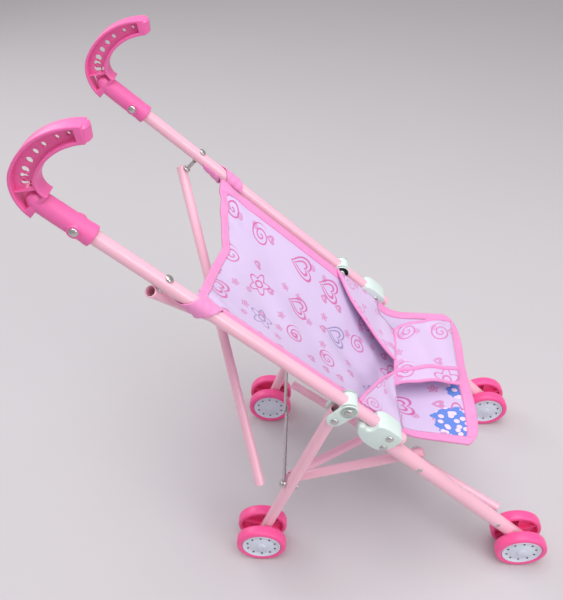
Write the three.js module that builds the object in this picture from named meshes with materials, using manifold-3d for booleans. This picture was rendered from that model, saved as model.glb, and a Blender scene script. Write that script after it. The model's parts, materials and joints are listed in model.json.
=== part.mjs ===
// A child's doll stroller of the umbrella type: two long side frames of steel tube with hooked
// plastic handles, rear legs that hinge on the push tubes, crossed tubes between the sides, a
// folding spreader, a fabric sling with a front flap and a harness, and four pairs of wheels.
// Millimetres. +X points forwards, +Y to the stroller's left, +Z up. The wheels stand on Z = 0.

import * as THREE from "three";
import { mergeVertices } from "three/addons/utils/BufferGeometryUtils.js";
import Module from "manifold-3d";

const wasm = await Module();
wasm.setup();

// ---- Driving dimensions -------------------------------------------------------------------

const WHEEL_RADIUS = 28;
const WHEEL_WIDTH = 12;
const WHEEL_EDGE = 2; // rounded shoulder of a tyre
const CAP_RADIUS = 21.5;
const CAP_THICKNESS = 2;
const WHEELBASE = 289.5;
const TRACK = 198.8; // between the planes of the two side frames

const MAIN_RADIUS = 6; // push tubes, front legs and rear legs
const MAIN_WALL = 1;
const CROSS_RADIUS = 5; // crossed tubes and side stays
const CROSS_WALL = 0.9;

const PUSH_ANGLE = 43.8; // degrees below horizontal, going forwards
const PUSH_LENGTH = 343; // from the handle's mouth to the tube's lower end
const PUSH_IN_HANDLE = 32; // how far the tube goes up into the handle
const LEG_ANGLE = 46.4; // front leg, degrees below horizontal
const LEG_LENGTH = 252; // front leg, from its top end to its axle
const LEG_AXLE_OFFSET = 3; // the front axle passes this far under the leg's axis
const LEG_PAST_AXLE = 6;
const SPLICE_LAP = 20.63; // the push tube's lower end, down the front leg from its top
const SPLICE_GAP = 1.62; // between the push tube and the front leg there

const REAR_PIVOT_ALONG = 269; // rear leg's pivot, along the push tube from its handle
const REAR_PIVOT_BELOW = 18; // and this far below the tube's axis
const SPLICE_ALONG = 324; // bracket rivet that holds the end of the push tube

const BACK_CROSS_ALONG = 64; // upper bolts of the crossed back tubes, along the push tube
const BACK_CROSS_REAR = 20.8; // axis of the rearmost back tube, under the push tube's wall
const BACK_CROSS_FRONT = 7.8; // and of the other one
const REAR_BOLT_DOWN = 127; // lower bolts of the back tubes, down the rear leg from its pivot
const CROSS_PAST_BOLT = 7; // how far a tube runs past its bolt

const STAY_ALONG = 64; // front bolt of a side stay, down the front leg from its top
const STAY_INBOARD = 13.4; // stay's axis, inside the side plane
const STAY_REAR_X = 25.5; // rear end of a side stay, from the rear axle
const STAY_REAR_Z = 115;

const UNDER_CROSS_ALONG = [192, 203]; // front bolts of the crossed lower tubes, down the leg
const UNDER_CROSS_REAR_X = 38;
const UNDER_CROSS_REAR_Z = [103, 86];
const UNDER_CROSS_INBOARD = 18;
const UNDER_CROSS_REAR_INBOARD = 30;

const SPREADER_WIDTH = 8;
const SPREADER_THICKNESS = 1.5;
const SPREADER_GAP = 0.5;

const HANDLE_WIDTH = 15;
const HANDLE_FLANGE = 2.4;
const HANDLE_WEB = 3;
const HANDLE_SOCKET_RADIUS = 8.6;
const HANDLE_SOCKET_LENGTH = 42;
const HANDLE_BENDS = [
  { radius: 22, turn: 76 },
  { radius: 55, turn: 60 },
];
const HANDLE_DEPTHS = [24, 12.6]; // depth of the grip where it starts and at its tip
const HANDLE_HOLES = 8;

const BRACKET_WIDTH = 20;
const RIVET_RADIUS = 2;
const RIVET_HEAD = 3.6;
const RIVET_HEAD_HEIGHT = 1.6;
const AXLE_RADIUS = 2;
const RUNNING_CLEARANCE = 0.22;
const FIT_GAP = 0.3; // between pieces that touch
const SIDE_GAP = 0.8; // between a leg and the wheels beside it

const SLING_TOP_ALONG = 90; // sling's top edge, along the push tube
const SLING_LENGTH = 246;
const SLING_HALF_WIDTH = 86.5;
const SLING_SAG = 18;
const SLING_THICKNESS = 3;
const FLAP_REACH = 90; // how far the front flap stands forward of the sling
const FLAP_RISE = -3; // its front edge hangs this much below its back
const HARNESS_HALF_WIDTH = 82;
const STRAP_RADIUS = 2.5;

const ROUND = 16; // facets round a wheel
const TUBE_FACETS = 12;
const RIVET_FACETS = 8;

// ---- Derived places -----------------------------------------------------------------------

const SIDE = TRACK / 2;
const SIDES = [
  { name: "right", sign: -1 },
  { name: "left", sign: 1 },
];
const radians = THREE.MathUtils.degToRad;
const UP = new THREE.Vector3(0, 0, 1);
const ACROSS = new THREE.Vector3(0, 1, 0);
const point = (x, y, z) => new THREE.Vector3(x, y, z);
const heading = (degrees) => point(Math.cos(radians(degrees)), 0, Math.sin(radians(degrees)));

const pushDirection = heading(-PUSH_ANGLE);
const pushBelow = heading(-PUSH_ANGLE - 90); // square to the push tube, down and back
const legDirection = heading(-LEG_ANGLE);
const frontHub = point(WHEELBASE, 0, WHEEL_RADIUS);
const rearHub = point(0, 0, WHEEL_RADIUS);

// The front leg stands on its axle, and the push tube lies above the leg's top end.
const legAbove = heading(90 - LEG_ANGLE);
const legTop = frontHub
  .clone()
  .addScaledVector(legAbove, LEG_AXLE_OFFSET)
  .addScaledVector(legDirection, -LEG_LENGTH);
const onLeg = (along) => legTop.clone().addScaledVector(legDirection, along);

const pushTop = onLeg(SPLICE_LAP)
  .addScaledVector(legAbove, 2 * MAIN_RADIUS + SPLICE_GAP)
  .addScaledVector(pushDirection, -PUSH_LENGTH);

// A point of the side plane, measured along the push tube and below its axis.
const onPush = (along, below = 0) =>
  pushTop.clone().addScaledVector(pushDirection, along).addScaledVector(pushBelow, below);

const rearPivot = onPush(REAR_PIVOT_ALONG, REAR_PIVOT_BELOW);
const rearDirection = rearHub.clone().sub(rearPivot).normalize();
const rearBehind = point(rearDirection.z, 0, -rearDirection.x); // square to the leg, backwards
const rearBolt = rearPivot.clone().addScaledVector(rearDirection, REAR_BOLT_DOWN);

const atSide = (place, sign, inboard = 0) => place.clone().setY(sign * (SIDE - inboard));

// ---- Solids -------------------------------------------------------------------------------

// A three.js geometry as a manifold-3d solid, moved by a matrix. Triangles that a pole or a
// seam leaves with no area are dropped, and a body that comes out inside out is turned round.
function solid(geometry, matrix = new THREE.Matrix4()) {
  const bare = geometry.clone();
  bare.deleteAttribute("normal");
  bare.deleteAttribute("uv");
  const merged = mergeVertices(bare, 1e-4).applyMatrix4(matrix);
  const vertProperties = new Float32Array(merged.attributes.position.array);
  const build = (inOrder) => {
    const faces = [];
    const { array } = merged.index;
    for (let face = 0; face < array.length; face += 3) {
      const [a, b, c] = array.subarray(face, face + 3);
      if (a !== b && b !== c && c !== a) faces.push(...(inOrder ? [a, b, c] : [a, c, b]));
    }
    const triVerts = new Uint32Array(faces);
    return new wasm.Manifold(new wasm.Mesh({ numProp: 3, vertProperties, triVerts }));
  };
  const body = build(true);
  return body.volume() > 0 ? body : build(false);
}

// The frame whose Z axis runs from one point towards another.
function frameAlong(from, to) {
  const z = to.clone().sub(from).normalize();
  const side = Math.abs(z.y) < 0.99 ? ACROSS : UP;
  const x = side.clone().cross(z).normalize();
  return new THREE.Matrix4().makeBasis(x, z.clone().cross(x), z).setPosition(from);
}

// A turned body about the line between two points: profile is [radius, distance] pairs.
function turned(from, to, profile, facets) {
  const lathe = new THREE.LatheGeometry(
    profile.map(([radius, along]) => new THREE.Vector2(radius, along)),
    facets,
  );
  const upright = new THREE.Matrix4().makeRotationX(Math.PI / 2);
  return solid(lathe, frameAlong(from, to).multiply(upright));
}

function rod(from, to, radius, facets = TUBE_FACETS) {
  const length = from.distanceTo(to);
  return turned(from, to, [[0, 0], [radius, 0], [radius, length], [0, length]], facets);
}

function pipe(from, to, radius, wall) {
  const length = from.distanceTo(to);
  const bore = radius - wall;
  const profile = [[bore, 0], [radius, 0], [radius, length], [bore, length], [bore, 0]];
  return turned(from, to, profile, TUBE_FACETS);
}

// A rivet or bolt with a domed head at each end, through the points from and to.
function rivet(from, to, radius = RIVET_RADIUS, head = RIVET_HEAD) {
  const length = from.distanceTo(to);
  const dome = RIVET_HEAD_HEIGHT;
  const profile = [
    [0, -dome], [head, 0], [radius, 0], [radius, length], [head, length], [0, length + dome],
  ];
  return turned(from, to, profile, RIVET_FACETS);
}

// A hole for a rivet, round the line between two points and past both of them.
function drill(from, to, radius = RIVET_RADIUS + RUNNING_CLEARANCE, past = 3) {
  const direction = to.clone().sub(from).normalize();
  const start = from.clone().addScaledVector(direction, -past);
  const end = to.clone().addScaledVector(direction, past);
  return rod(start, end, radius, RIVET_FACETS);
}

// A flat outline of the side plane, given as points [along, below] the push tube from a
// reference place, made as thick as it is told and centred on Y = 0.
function plate(origin, along, below, outline, thickness) {
  const shape = new THREE.Shape(outline.map(([s, n]) => new THREE.Vector2(s, n)));
  const geometry = new THREE.ExtrudeGeometry(shape, {
    depth: thickness, bevelEnabled: false, curveSegments: 4,
  });
  geometry.translate(0, 0, -thickness / 2);
  const thicknessAxis = along.clone().cross(below);
  return solid(
    geometry,
    new THREE.Matrix4().makeBasis(along, below, thicknessAxis).setPosition(origin),
  );
}

const acrossBy = (distance) => point(0, distance, 0);
const shifted = (body, y) => body.translate([0, y, 0]);

// ---- Materials ----------------------------------------------------------------------------

const paint = (color, roughness, metalness) =>
  new THREE.MeshStandardMaterial({ color, roughness, metalness });
const MATERIALS = {
  tube: paint(0xf3b4cb, 0.35, 0.1),
  handle: paint(0xf26fb0, 0.45, 0),
  bracket: paint(0xe4eeec, 0.45, 0),
  steel: paint(0xc9c6c4, 0.3, 0.9),
  wheel: paint(0xff5c9c, 0.45, 0),
  cap: paint(0xdfe3ee, 0.35, 0),
  fabric: paint(0xe9c6e6, 0.85, 0),
  strap: paint(0xf08cc0, 0.8, 0),
};

const stroller = new THREE.Group();

// Adds a finished solid as a named mesh whose own origin is at the given place.
function add(name, body, material, place = point(0, 0, 0)) {
  const { vertProperties, triVerts, numProp } = body.getMesh();
  const positions = [];
  for (const vertex of triVerts)
    for (let axis = 0; axis < 3; axis += 1)
      positions.push(vertProperties[vertex * numProp + axis]);
  const geometry = new THREE.BufferGeometry();
  geometry.setAttribute("position", new THREE.Float32BufferAttribute(positions, 3));
  geometry.translate(-place.x, -place.y, -place.z);
  geometry.computeVertexNormals();
  const mesh = new THREE.Mesh(geometry, material);
  mesh.name = name;
  mesh.position.copy(place);
  stroller.add(mesh);
}

// ---- Wheels and axles ---------------------------------------------------------------------

// One wheel of a pair, with its hub on the Y axis: the outer face is at +Y and recessed for a cap.
function wheelBody(inner) {
  const outer = inner + WHEEL_WIDTH;
  const bore = AXLE_RADIUS + RUNNING_CLEARANCE;
  const rim = CAP_RADIUS + FIT_GAP;
  const capSeat = outer - CAP_THICKNESS - 2 * FIT_GAP;
  const hub = 6;
  const hollow = 5; // depth of the open inner side
  return [
    [bore, inner], [hub, inner], [hub, inner + hollow], [rim, inner + hollow],
    [rim, inner], [WHEEL_RADIUS - WHEEL_EDGE, inner], [WHEEL_RADIUS, inner + WHEEL_EDGE],
    [WHEEL_RADIUS, outer - WHEEL_EDGE], [WHEEL_RADIUS - WHEEL_EDGE, outer], [rim, outer],
    [rim, capSeat], [bore, capSeat], [bore, inner],
  ];
}

function addWheels(corner, hub, side) {
  const inner = MAIN_RADIUS + SIDE_GAP;
  const outer = inner + WHEEL_WIDTH;
  const centre = atSide(hub, side.sign);
  const axleEnd = outer - CAP_THICKNESS - 3 * FIT_GAP;
  const axle = rod(
    centre.clone().sub(acrossBy(axleEnd)), centre.clone().add(acrossBy(axleEnd)),
    AXLE_RADIUS, RIVET_FACETS,
  );
  add(`axle_${corner}_${side.name}`, axle, MATERIALS.steel, centre);
  for (const [where, sign] of [["outer", side.sign], ["inner", -side.sign]]) {
    const beside = centre.clone().add(acrossBy(sign));
    const name = `${corner}_${side.name}_${where}`;
    add(`wheel_${name}`, turned(centre, beside, wheelBody(inner), ROUND), MATERIALS.wheel, centre);
    const capFace = outer - CAP_THICKNESS - FIT_GAP;
    const capProfile = [
      [0, capFace], [CAP_RADIUS, capFace], [CAP_RADIUS, outer - FIT_GAP], [0, outer],
    ];
    add(`cap_${name}`, turned(centre, beside, capProfile, ROUND), MATERIALS.cap, centre);
  }
}

const axleHole = (hub) =>
  drill(hub.clone().sub(acrossBy(MAIN_RADIUS)), hub.clone().add(acrossBy(MAIN_RADIUS)),
    AXLE_RADIUS + RUNNING_CLEARANCE);

// ---- Side frames --------------------------------------------------------------------------

const BRACKET_HALF = BRACKET_WIDTH / 2;
// A hole or rivet straight across the side frame at one place of the side plane.
const acrossHole = (place, half = BRACKET_HALF) =>
  drill(place.clone().sub(acrossBy(half)), place.clone().add(acrossBy(half)));
const acrossRivet = (place, half = BRACKET_HALF + FIT_GAP) =>
  rivet(place.clone().sub(acrossBy(half)), place.clone().add(acrossBy(half)));

const handleRivetPlace = onPush(-14);
const clipRivetPlace = onPush(REAR_PIVOT_ALONG);
const spliceRivetPlace = onPush(SPLICE_ALONG);
const legRivetPlace = onLeg(8);

// The grip's centreline: the socket's straight run, then one tight and one wide bend.
function gripLine() {
  const steps = 5;
  const places = [];
  let direction = 180 - PUSH_ANGLE;
  const here = onPush(-HANDLE_SOCKET_LENGTH);
  for (const bend of HANDLE_BENDS) {
    const centre = here.clone().addScaledVector(heading(direction - 90), bend.radius);
    for (let step = places.length ? 1 : 0; step <= steps; step += 1) {
      const turned = direction - (bend.turn * step) / steps;
      places.push({
        place: centre.clone().addScaledVector(heading(turned + 90), bend.radius),
        outward: heading(turned + 90),
      });
    }
    direction -= bend.turn;
    here.copy(places[places.length - 1].place);
  }
  return places;
}

// The grip's outline as a closed band about its centreline, pulled in by a margin.
function gripBand(line, margin, thickness) {
  const last = line.length - 1;
  const side = (sign) =>
    line.map(({ place, outward }, index) => {
      const depth = THREE.MathUtils.lerp(HANDLE_DEPTHS[0], HANDLE_DEPTHS[1], index / last);
      return place.clone().addScaledVector(outward, sign * (depth / 2 - margin));
    });
  const outline = [...side(1), ...side(-1).reverse()]
    .map((place) => [place.x, place.z]);
  return plate(point(0, 0, 0), point(1, 0, 0), UP, outline, thickness);
}

function handleBody() {
  const line = gripLine();
  const last = line.length - 1;
  const pocket = gripBand(line.slice(1, last), HANDLE_FLANGE, HANDLE_WIDTH + 1);
  const web = gripBand(line, HANDLE_FLANGE / 2, HANDLE_WEB);
  let body = gripBand(line, 0, HANDLE_WIDTH).subtract(pocket).add(web);
  const socketTop = onPush(-HANDLE_SOCKET_LENGTH - 6);
  body = body.add(rod(onPush(0), socketTop, HANDLE_SOCKET_RADIUS, ROUND));
  const rib = line[4];
  body = body.add(
    rod(
      rib.place.clone().addScaledVector(rib.outward, -HANDLE_DEPTHS[0] / 2 + HANDLE_FLANGE),
      rib.place.clone().addScaledVector(rib.outward, HANDLE_DEPTHS[0] / 2 - HANDLE_FLANGE),
      HANDLE_FLANGE / 2, 6,
    ),
  );
  for (let hole = 0; hole < HANDLE_HOLES; hole += 1) {
    const { place } = line[Math.round(2 + (hole * (last - 3)) / (HANDLE_HOLES - 1))];
    const radius = THREE.MathUtils.lerp(3.6, 1.6, hole / (HANDLE_HOLES - 1));
    body = body.subtract(acrossHoleOf(place, radius));
  }
  const bore = rod(
    onPush(1), onPush(-PUSH_IN_HANDLE - FIT_GAP), MAIN_RADIUS + FIT_GAP, TUBE_FACETS,
  );
  return body.subtract(bore).subtract(acrossHole(handleRivetPlace, HANDLE_SOCKET_RADIUS));
}

const acrossHoleOf = (place, radius) =>
  drill(place.clone().sub(acrossBy(HANDLE_WEB)), place.clone().add(acrossBy(HANDLE_WEB)), radius);

// The clip that hangs the rear leg under the push tube.
function legClip() {
  const reach = 8.6;
  const outline = [];
  const corners = 8;
  for (let step = 0; step <= corners; step += 1) {
    const turn = radians(180 + (180 * step) / corners);
    outline.push([reach * Math.cos(turn), reach * Math.sin(turn)]);
  }
  for (let step = 0; step <= corners; step += 1) {
    const turn = radians((180 * step) / corners);
    const lobe = reach - 0.8;
    outline.push([lobe * Math.cos(turn), REAR_PIVOT_BELOW + lobe * Math.sin(turn)]);
  }
  const block = plate(clipRivetPlace, pushDirection, pushBelow, outline, BRACKET_WIDTH);
  const slot = plate(
    clipRivetPlace, pushDirection, pushBelow,
    [[-12, reach], [12, reach], [12, 40], [-12, 40]], 2 * (MAIN_RADIUS + FIT_GAP),
  );
  return block
    .subtract(slot)
    .subtract(rod(onPush(0), onPush(PUSH_LENGTH), MAIN_RADIUS + FIT_GAP))
    .subtract(acrossHole(clipRivetPlace))
    .subtract(acrossHole(rearPivot));
}

// The bracket that holds the push tube's end over the top of the front leg, with a finger ear.
function spliceBracket() {
  const outline = [
    [-20, -8.6], [8, -8.6], [12, -5], [13, 9], [8, 19], [0, 21], [-12, 21],
    [-24, 18], [-32, 12], [-33, 7], [-29, 4.5], [-24, 7], [-20, 3],
  ];
  return plate(spliceRivetPlace, pushDirection, pushBelow, outline, BRACKET_WIDTH)
    .subtract(rod(onPush(0), onPush(PUSH_LENGTH + 1), MAIN_RADIUS + FIT_GAP))
    .subtract(rod(onLeg(-1), onLeg(LEG_LENGTH), MAIN_RADIUS + FIT_GAP))
    .subtract(acrossHole(spliceRivetPlace))
    .subtract(acrossHole(legRivetPlace));
}

const backBoltStart = onPush(BACK_CROSS_ALONG, -MAIN_RADIUS - FIT_GAP);
const BOLT_SHORT = CROSS_RADIUS + RIVET_HEAD_HEIGHT + 2 * FIT_GAP; // a bolt ends at its tube
const backCrossBelow = [BACK_CROSS_REAR, BACK_CROSS_FRONT].map((gap) => MAIN_RADIUS + gap);
const backBoltEnd = (layer) => onPush(BACK_CROSS_ALONG, backCrossBelow[layer] - BOLT_SHORT);
const frontTubeSpacing = BACK_CROSS_REAR - BACK_CROSS_FRONT;
const spreaderStack = 2 * (SPREADER_THICKNESS + SPREADER_GAP);
const LEAN_GAP = 7; // the front tube leans towards the spreader
const OBLIQUE_GAP = 2.6; // an under cross slants towards the bolt it hangs on
const FRONT_CROSS_BEHIND = MAIN_RADIUS + spreaderStack + LEAN_GAP + CROSS_RADIUS;
const crossBehind = [FRONT_CROSS_BEHIND + frontTubeSpacing, FRONT_CROSS_BEHIND];
const rearBoltAt = (behind) => rearBolt.clone().addScaledVector(rearBehind, behind);
const rearBoltStart = rearBoltAt(-MAIN_RADIUS - FIT_GAP);
const rearBoltEnd = rearBoltAt(MAIN_RADIUS + spreaderStack + SPREADER_GAP);
const stayBolt = onLeg(STAY_ALONG);

// The ends of a bolt across a front leg, that reaches inside the frame as far as it is told.
const inboardBolt = (place, sign, inboard) =>
  [-MAIN_RADIUS - FIT_GAP, inboard].map((reach) => atSide(place, sign, reach));
const STAY_BOLT_REACH = STAY_INBOARD + CROSS_RADIUS + FIT_GAP;

function addSideFrame(side) {
  const { name, sign } = side;
  const y = sign * SIDE;
  const layer = sign > 0 ? 0 : 1; // the left side carries the upper or rearmost cross tube
  const underBolt = onLeg(UNDER_CROSS_ALONG[layer]);
  const pushTube = pipe(onPush(-PUSH_IN_HANDLE), onPush(PUSH_LENGTH), MAIN_RADIUS, MAIN_WALL)
    .subtract(acrossHole(handleRivetPlace))
    .subtract(acrossHole(clipRivetPlace))
    .subtract(acrossHole(spliceRivetPlace))
    .subtract(drill(backBoltStart, onPush(BACK_CROSS_ALONG, MAIN_RADIUS)));
  add(`push_tube_${name}`, shifted(pushTube, y), MATERIALS.tube, atSide(onPush(0), sign));

  const frontLeg = pipe(onLeg(0), onLeg(LEG_LENGTH + LEG_PAST_AXLE), MAIN_RADIUS, MAIN_WALL)
    .subtract(acrossHole(legRivetPlace))
    .subtract(acrossHole(stayBolt))
    .subtract(acrossHole(underBolt))
    .subtract(axleHole(frontHub));
  add(`front_leg_${name}`, shifted(frontLeg, y), MATERIALS.tube, atSide(onLeg(0), sign));

  add(`handle_${name}`, shifted(handleBody(), y), MATERIALS.handle, atSide(onPush(0), sign));
  add(`leg_clip_${name}`, shifted(legClip(), y), MATERIALS.bracket,
    atSide(clipRivetPlace, sign));
  add(`splice_bracket_${name}`, shifted(spliceBracket(), y), MATERIALS.bracket,
    atSide(spliceRivetPlace, sign));

  const sideRivets = [
    ["handle_rivet", handleRivetPlace, HANDLE_SOCKET_RADIUS + FIT_GAP],
    ["clip_rivet", clipRivetPlace],
    ["splice_rivet", spliceRivetPlace],
    ["front_leg_rivet", legRivetPlace],
    ["leg_pivot_rivet", rearPivot],
  ];
  for (const [rivetName, place, half] of sideRivets)
    add(`${rivetName}_${name}`, shifted(acrossRivet(place, half), y), MATERIALS.steel,
      atSide(place, sign));
  add(`back_cross_bolt_${name}`, shifted(rivet(backBoltStart, backBoltEnd(layer)), y),
    MATERIALS.steel, atSide(backBoltStart, sign));
  add(`stay_bolt_${name}`, rivet(...inboardBolt(stayBolt, sign, STAY_BOLT_REACH)),
    MATERIALS.steel, atSide(stayBolt, sign));
  const underReach = UNDER_CROSS_INBOARD - BOLT_SHORT - OBLIQUE_GAP;
  add(`under_cross_bolt_${name}`, rivet(...inboardBolt(underBolt, sign, underReach)),
    MATERIALS.steel, atSide(underBolt, sign));

  const legOver = 5.4; // the rear leg runs this far past its pivot, clear of the clip
  const legStart = rearPivot.clone().addScaledVector(rearDirection, -legOver);
  const legEnd = rearHub.clone().addScaledVector(rearDirection, LEG_PAST_AXLE);
  const rearLeg = pipe(legStart, legEnd, MAIN_RADIUS, MAIN_WALL)
    .subtract(acrossHole(rearPivot))
    .subtract(drill(rearBoltStart, rearBoltAt(MAIN_RADIUS)))
    .subtract(axleHole(rearHub));
  add(`rear_leg_${name}`, shifted(rearLeg, y), MATERIALS.tube, atSide(rearPivot, sign));
  add(`rear_leg_bolt_${name}`, shifted(rivet(rearBoltStart, rearBoltEnd), y),
    MATERIALS.steel, atSide(rearBoltStart, sign));

  addStay(side);
  addSpreader(side);
  addWheels("front", frontHub, side);
  addWheels("rear", rearHub, side);
}

// The rail inside each side frame, from its bolt on the front leg back to the rear leg.
function addStay({ name, sign }) {
  const front = atSide(stayBolt, sign, STAY_INBOARD);
  const rear = atSide(point(STAY_REAR_X, 0, STAY_REAR_Z), sign, STAY_INBOARD);
  const direction = front.clone().sub(rear).normalize();
  const end = front.clone().addScaledVector(direction, CROSS_PAST_BOLT);
  const [boltStart, boltEnd] = inboardBolt(stayBolt, sign, STAY_BOLT_REACH);
  const body = pipe(end, rear, CROSS_RADIUS, CROSS_WALL).subtract(drill(boltStart, boltEnd));
  add(`side_stay_${name}`, body, MATERIALS.tube, front);
}

// Half of the flat spreader between the rear legs, from a leg's bolt to the middle.
function addSpreader({ name, sign }) {
  const layer = sign < 0 ? 0 : 1;
  const behind = MAIN_RADIUS + SPREADER_GAP + (layer + 0.5) * (SPREADER_THICKNESS + SPREADER_GAP);
  const pivot = atSide(rearBoltAt(behind), sign);
  const half = SPREADER_WIDTH / 2;
  const shape = new THREE.Shape();
  shape.absarc(0, 0, half, Math.PI / 2, (3 * Math.PI) / 2);
  shape.absarc(SIDE, 0, half, -Math.PI / 2, Math.PI / 2);
  const hole = new THREE.Path();
  hole.absarc(0, 0, RIVET_RADIUS + RUNNING_CLEARANCE, 0, 2 * Math.PI, true);
  shape.holes.push(hole);
  const bar = new THREE.ExtrudeGeometry(shape, {
    depth: SPREADER_THICKNESS, bevelEnabled: false, curveSegments: 10,
  });
  bar.translate(0, 0, -SPREADER_THICKNESS / 2);
  const towardsMiddle = point(0, -sign, 0);
  const thicknessAxis = rearBehind.clone();
  const frame = new THREE.Matrix4()
    .makeBasis(towardsMiddle, thicknessAxis.clone().cross(towardsMiddle), thicknessAxis)
    .setPosition(pivot);
  add(`spreader_link_${name}`, solid(bar, frame), MATERIALS.steel, pivot);
}

// ---- Crossed tubes ------------------------------------------------------------------------

// A tube through two points, running a little past each of them.
function crossTube(name, first, last) {
  const direction = last.clone().sub(first).normalize();
  const start = first.clone().addScaledVector(direction, -CROSS_PAST_BOLT);
  const end = last.clone().addScaledVector(direction, CROSS_PAST_BOLT);
  add(name, pipe(start, end, CROSS_RADIUS, CROSS_WALL), MATERIALS.tube, first);
}

// From the top of one push tube down to the opposite rear leg.
function addBackCross(name, sign, layer) {
  const top = atSide(onPush(BACK_CROSS_ALONG, backCrossBelow[layer]), sign);
  crossTube(name, top, atSide(rearBoltAt(crossBehind[layer]), -sign));
}

// From part of the way down one front leg back to the opposite rear leg, where its end is free.
function addUnderCross(name, sign, layer) {
  const front = atSide(onLeg(UNDER_CROSS_ALONG[layer]), sign, UNDER_CROSS_INBOARD);
  const rearPlace = point(UNDER_CROSS_REAR_X, 0, UNDER_CROSS_REAR_Z[layer]);
  crossTube(name, front, atSide(rearPlace, -sign, UNDER_CROSS_REAR_INBOARD));
}

// ---- Soft pieces --------------------------------------------------------------------------

const slingEnd = SLING_TOP_ALONG + SLING_LENGTH;

// The sling hangs between the push tubes in a shallow curve.
function slingBody() {
  const steps = 10;
  const edge = (offset) =>
    Array.from({ length: steps + 1 }, (_, index) => {
      const share = (2 * index) / steps - 1;
      return [share * SLING_HALF_WIDTH, 2 + SLING_SAG * (1 - share * share) + offset];
    });
  const outline = [...edge(0), ...edge(SLING_THICKNESS).reverse()];
  const shape = new THREE.Shape(outline.map(([across, below]) => new THREE.Vector2(across, below)));
  const sheet = new THREE.ExtrudeGeometry(shape, { depth: SLING_LENGTH, bevelEnabled: false });
  const frame = new THREE.Matrix4()
    .makeBasis(ACROSS, pushBelow, pushDirection)
    .setPosition(onPush(SLING_TOP_ALONG));
  return solid(sheet, frame);
}

// The stiffened flap in front of the sling, for the doll's legs, sewn to the sling's lower end.
function flapBody() {
  const start = onPush(slingEnd, SLING_SAG + SLING_THICKNESS);
  const front = start.clone().add(point(FLAP_REACH, 0, FLAP_RISE));
  const thick = point(0, 0, SLING_THICKNESS);
  const back = onPush(slingEnd - SLING_THICKNESS, 2);
  const outline = [start, front, front.clone().add(thick), onPush(slingEnd, 2), back]
    .map((corner) => [corner.x, corner.z]);
  return plate(point(0, 0, 0), point(1, 0, 0), UP, outline, 2 * SLING_HALF_WIDTH);
}

// A soft band, kept here as a round cord along a curve.
function strapBody(curve, steps) {
  const section = new THREE.Shape();
  section.absarc(0, 0, STRAP_RADIUS, 0, 2 * Math.PI);
  const band = new THREE.ExtrudeGeometry(section, {
    steps, curveSegments: 4, extrudePath: curve, bevelEnabled: false,
  });
  return solid(band);
}

// The harness: a strap from side to side in front of the doll and one down between its legs.
function addHarness() {
  const rootPlace = onPush(278, -6);
  const middle = onPush(345, -18);
  const pull = middle.clone().multiplyScalar(2).sub(rootPlace);
  const end = (sign) => rootPlace.clone().setY(sign * HARNESS_HALF_WIDTH);
  const waist = strapBody(new THREE.QuadraticBezierCurve3(end(-1), pull, end(1)), 12);
  const foot = onPush(slingEnd, -2).add(point(STRAP_RADIUS, 0, STRAP_RADIUS));
  const crotch = strapBody(new THREE.LineCurve3(foot, middle), 1);
  add("harness", waist.add(crotch), MATERIALS.strap, middle);
}

// ---- The whole stroller -------------------------------------------------------------------

SIDES.forEach(addSideFrame);
addBackCross("back_cross_left", 1, 0);
addBackCross("back_cross_right", -1, 1);
addUnderCross("under_cross_left", 1, 0);
addUnderCross("under_cross_right", -1, 1);
add("seat_sling", slingBody().add(flapBody()), MATERIALS.fabric, onPush(slingEnd));
addHarness();

// The origin goes to the middle of the whole object's footprint, on the floor.
const box = new THREE.Box3().setFromObject(stroller);
const centre = box.getCenter(new THREE.Vector3());
stroller.position.set(-centre.x, -centre.y, -box.min.z);

export default stroller;
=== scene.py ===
# %% [markdown]
# This lesson dresses a doll stroller of the umbrella kind. Its frame of tubes is already solved
# elsewhere and comes in as fixed nodes, so the first step is only to load it and note how large
# it is. Everything made later has to stay in that box.

# %% Load the frame
import json
import math

import bmesh
import bpy
import numpy as np
from mathutils import Matrix, Vector


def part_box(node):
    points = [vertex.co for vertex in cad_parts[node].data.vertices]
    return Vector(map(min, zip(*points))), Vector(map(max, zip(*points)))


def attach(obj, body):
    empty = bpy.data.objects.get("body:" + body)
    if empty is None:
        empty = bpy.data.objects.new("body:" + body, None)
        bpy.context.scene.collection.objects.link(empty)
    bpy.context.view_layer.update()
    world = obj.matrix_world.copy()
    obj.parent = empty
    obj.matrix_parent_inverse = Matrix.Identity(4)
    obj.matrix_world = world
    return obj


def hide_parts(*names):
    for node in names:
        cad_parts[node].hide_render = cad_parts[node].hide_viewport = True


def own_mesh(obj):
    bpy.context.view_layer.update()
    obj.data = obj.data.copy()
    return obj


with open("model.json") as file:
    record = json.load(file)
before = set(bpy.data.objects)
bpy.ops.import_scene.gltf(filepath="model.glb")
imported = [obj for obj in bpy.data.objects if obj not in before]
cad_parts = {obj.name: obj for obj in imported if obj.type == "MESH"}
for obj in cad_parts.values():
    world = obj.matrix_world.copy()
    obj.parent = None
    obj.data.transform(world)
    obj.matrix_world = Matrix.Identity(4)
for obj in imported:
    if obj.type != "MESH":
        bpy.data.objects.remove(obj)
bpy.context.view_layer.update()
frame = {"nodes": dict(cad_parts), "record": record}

# %% [markdown]
# Two small jobs come up all through: putting a mesh, curve, lamp or camera in the scene, and
# taking the plain mesh that an object has once its curve or modifiers are worked out.

# %% Scene helpers
def in_scene(name, data):
    """A new object for that data, linked to the scene."""
    made = bpy.data.objects.new(name, data)
    bpy.context.scene.collection.objects.link(made)
    return made


def settled_mesh(made):
    """The plain mesh of an object with its curve or modifiers worked out."""
    bpy.context.view_layer.update()
    return bpy.data.meshes.new_from_object(
        made.evaluated_get(bpy.context.evaluated_depsgraph_get()))


# %% [markdown]
# The camera stands to the stroller's right, above it, and looks down at about forty degrees. It
# is placed by its own three axes: right, up and the opposite of the way it looks.

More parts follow.
